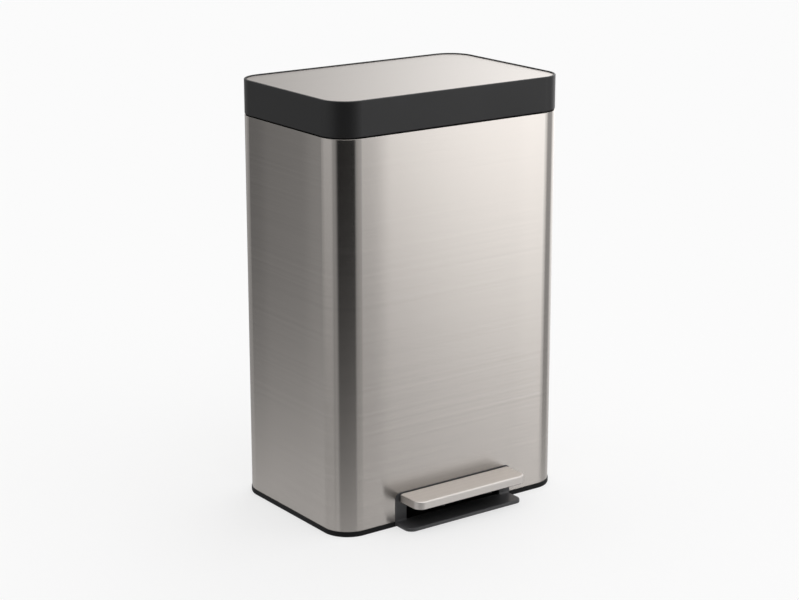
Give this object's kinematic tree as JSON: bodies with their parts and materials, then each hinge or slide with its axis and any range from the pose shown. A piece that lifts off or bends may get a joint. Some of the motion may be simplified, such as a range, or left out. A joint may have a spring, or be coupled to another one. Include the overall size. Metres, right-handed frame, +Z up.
{
  "type": "step-on trash can",
  "caption": "Tall rectangular trash can: brushed steel shell, black slow-close lid with a steel panel, foot pedal, lever and push rod that lift the lid, and a lift-out bucket.",
  "frame": {"origin": "middle of the body's footprint, on the floor", "axes": "+Z up, -Y towards the front where the pedal is, +X to the right when facing the back"},
  "size_m": [0.4166, 0.3248, 0.65],
  "materials": {
    "shell_steel": "satin stainless sheet, brushed across the width",
    "lid_steel": "satin stainless sheet, brushed across the width",
    "pedal_steel": "satin stainless cap, brushed along its length",
    "lid_black": "satin charcoal-black moulding",
    "base_black": "matt black moulding",
    "inner_grey": "dark grey moulding, fine texture",
    "zinc_steel": "zinc-plated pressed steel",
    "lever_black": "black-coated pressed steel",
    "bright_pin": "ground steel pins and shafts",
    "bush_nylon": "natural nylon",
    "damper_black": "glass-filled nylon",
    "soft_black": "soft thermoplastic rubber",
    "screw_zinc": "zinc-plated screws and clips"
  },
  "bodies": {
    "body": {"outer_shell": "shell_steel", "base_tray": "base_black", "anti_slip_ring": "soft_black", "pedal_surround": "base_black", "surround_screws": "screw_zinc", "top_collar": "base_black", "inner_bucket": "inner_grey", "hinge_bracket": "zinc_steel", "hinge_bracket_screws": "screw_zinc", "hinge_bushes": "bush_nylon", "hinge_cover": "lid_black", "cover_screws": "screw_zinc", "damper_housing": "damper_black", "damper_cap": "damper_black", "damper_screws": "screw_zinc", "rod_channel": "zinc_steel", "channel_screws": "screw_zinc", "rod_guides": "bush_nylon", "pivot_saddles": "bush_nylon", "saddle_screws": "screw_zinc", "lever_pivot_pin": "bright_pin", "pivot_clips": "screw_zinc"},
    "lid": {"lid_frame": "lid_black", "lid_panel": "lid_steel", "lid_inner_cover": "inner_grey", "lid_cover_screws": "screw_zinc", "lid_bumpers": "soft_black", "hinge_yoke": "zinc_steel", "yoke_screws": "screw_zinc", "hinge_shaft": "bright_pin", "shaft_clip": "screw_zinc", "crank_lever": "zinc_steel", "crank_pin": "bright_pin", "damper_rotor": "damper_black"},
    "pedal": {"pedal_tread": "pedal_steel", "pedal_core": "base_black", "pedal_lever": "lever_black", "pedal_screws": "lever_black", "pedal_stops": "soft_black", "lever_bushes": "bush_nylon", "rod_joint_pin": "bright_pin"},
    "push_rod_set": {"push_rod": "bright_pin", "rod_head": "bush_nylon", "rod_foot": "bush_nylon"}
  },
  "joints": [
    {"name": "lid_hinge", "type": "hinge", "parent": "body", "child": "lid", "pos_m": [0, 0.125, 0.612], "axis": [-1, 0, 0], "range_deg": [0, 80]},
    {"name": "pedal_pivot", "type": "hinge", "parent": "body", "child": "pedal", "pos_m": [0, -0.062, 0.033], "axis": [1, 0, 0], "range_deg": [0, 12.15]},
    {"name": "rod_pivot", "type": "hinge", "parent": "pedal", "child": "push_rod_set", "pos_m": [0, 0.10116, 0.01564], "axis": [-1, 0, 0], "range_deg": [0, 12.15]}
  ],
  "couplings": [
    {"joint": "pedal_pivot", "follows": "lid_hinge", "ratio": 0.15179},
    {"joint": "rod_pivot", "follows": "lid_hinge", "ratio": 0.15179}
  ]
}
